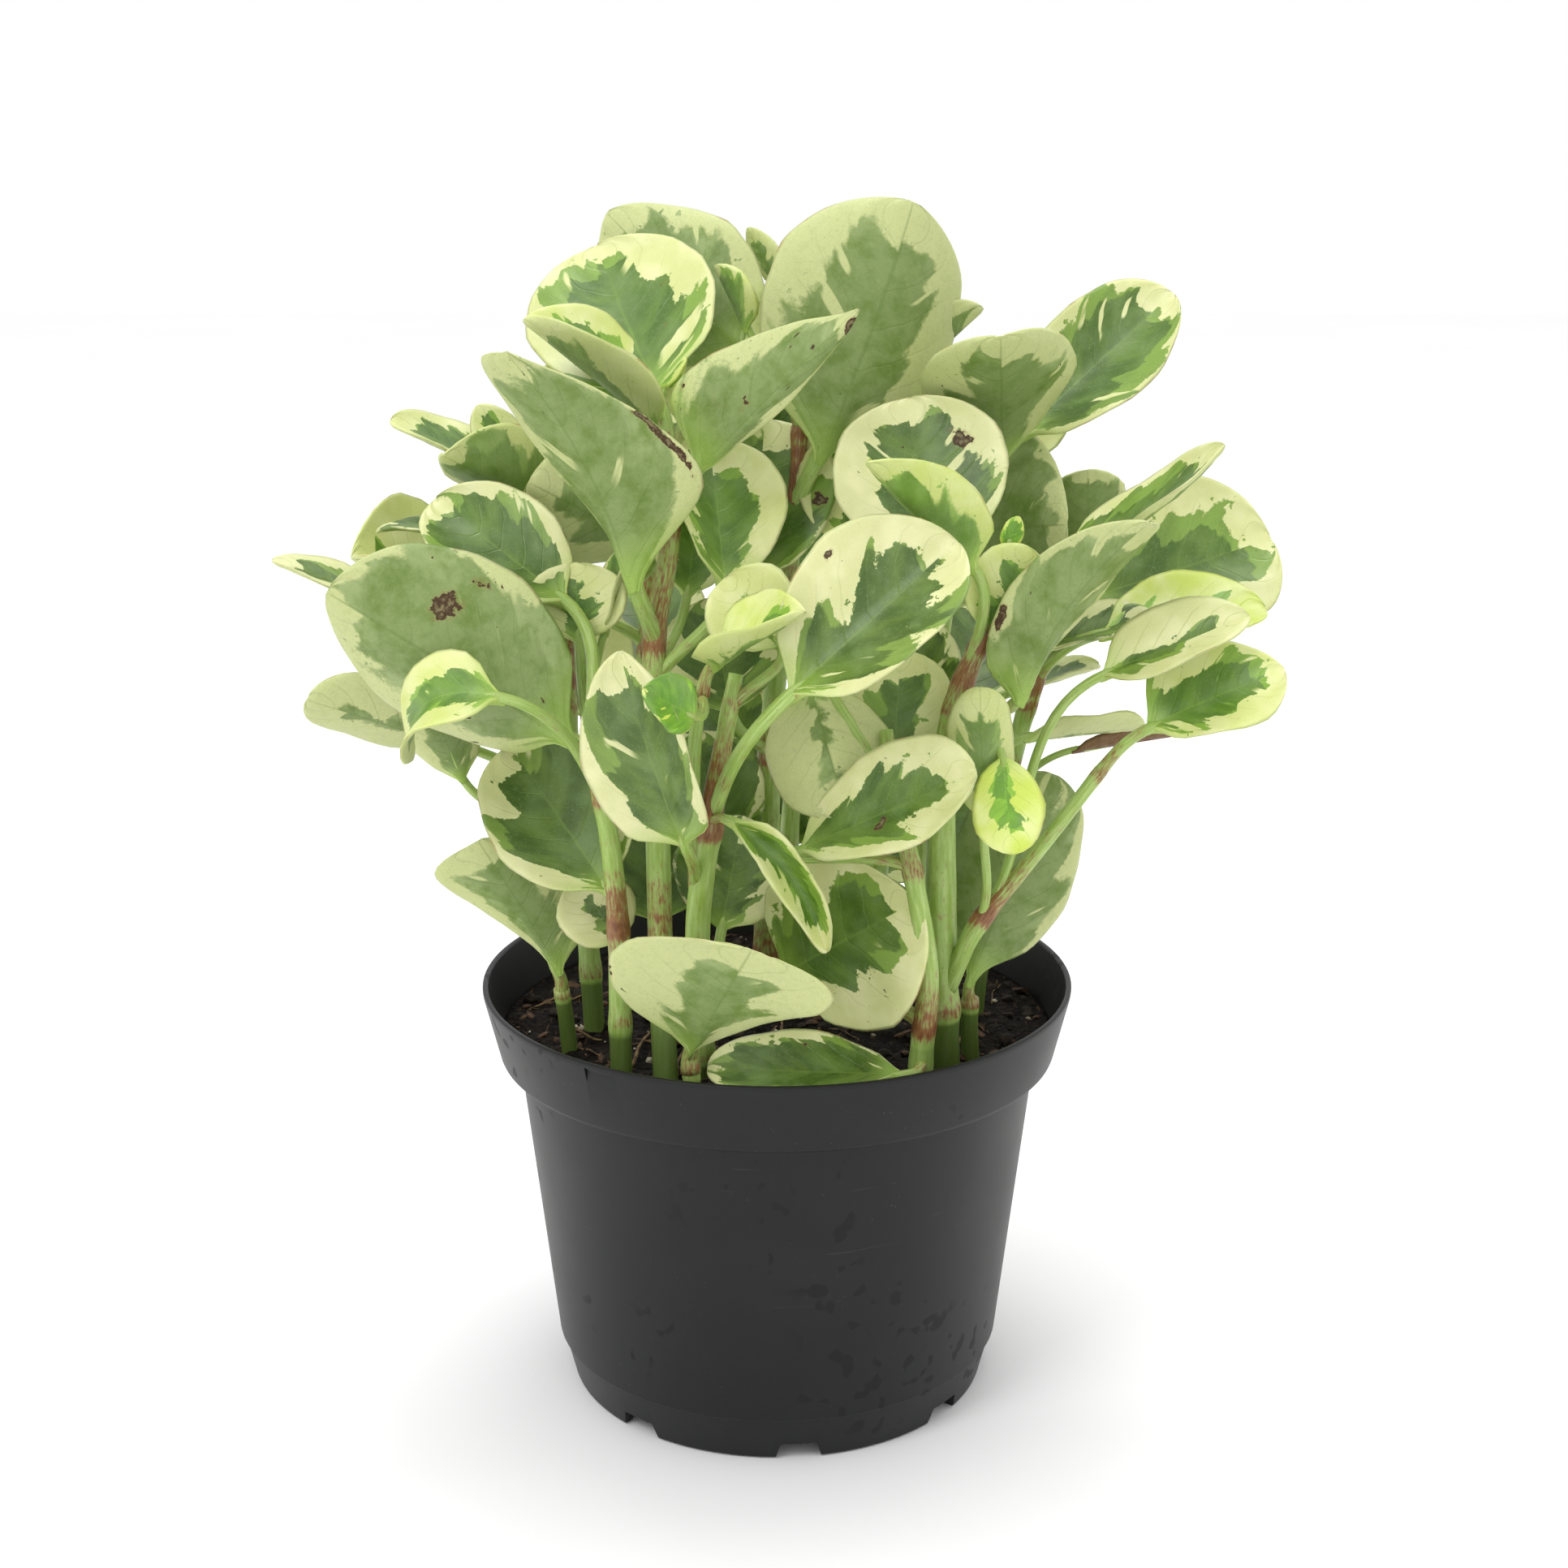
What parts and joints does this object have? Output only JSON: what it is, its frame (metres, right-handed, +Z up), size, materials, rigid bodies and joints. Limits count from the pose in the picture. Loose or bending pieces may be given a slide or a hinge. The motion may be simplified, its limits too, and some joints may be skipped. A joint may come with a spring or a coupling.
{
  "type": "potted plant",
  "caption": "Bushy potted houseplant with rounded, fleshy, cream-edged green leaves on upright branching stems, in a round tapered nursery pot of soil.",
  "frame": {"origin": "on the pot's axis, in the plane that the pot's foot ring stands on, which is also the bottom centre of the whole object's bounding box, within 2 mm", "axes": "+Z up along the pot's axis; -Y is the front, the side that the picture shows; +X is to the right of someone who faces that front"},
  "size_m": [0.2719, 0.1821, 0.3305],
  "materials": {
    "pot": "satin black moulded plastic",
    "soil": "moist dark potting mix with bark and perlite",
    "foliage": "waxy variegated leaves, dark green inside a cream edge, on pale green stems"
  },
  "bodies": {
    "root": {"pot": "pot", "soil": "soil", "shoot_crown_left": "foliage", "shoot_crown_right": "foliage", "shoot_right_upper": "foliage", "shoot_centre": "foliage", "shoot_left_front": "foliage", "shoot_left_back": "foliage", "shoot_left_low": "foliage", "shoot_front_low": "foliage", "shoot_right_front": "foliage", "shoot_right_main": "foliage", "shoot_right_low": "foliage", "shoot_right_back": "foliage", "shoot_back_left": "foliage", "shoot_back_middle": "foliage", "shoot_back_right": "foliage"}
  },
  "joints": []
}
